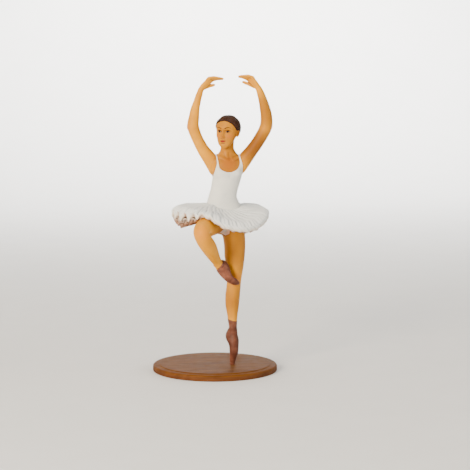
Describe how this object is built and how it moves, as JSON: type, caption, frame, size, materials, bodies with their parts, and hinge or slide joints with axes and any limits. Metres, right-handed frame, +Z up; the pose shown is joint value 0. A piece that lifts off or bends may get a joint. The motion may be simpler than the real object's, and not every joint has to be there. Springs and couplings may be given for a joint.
{
  "type": "ballerina figurine",
  "caption": "Painted plastic toy ballerina on pointe, arms raised overhead, one leg drawn up under a pleated tutu, on a round base.",
  "frame": {"origin": "middle of the base's underside", "axes": "+Z up through the standing leg, the figure faces -Y, +X to the figure's own left"},
  "size_m": [0.05, 0.05, 0.1193],
  "materials": {
    "painted_plastic": "hand painted, satin",
    "base_plastic": "painted like brown wood, satin"
  },
  "bodies": {
    "root": {"ballerina": "painted_plastic", "base": "base_plastic"}
  },
  "joints": []
}
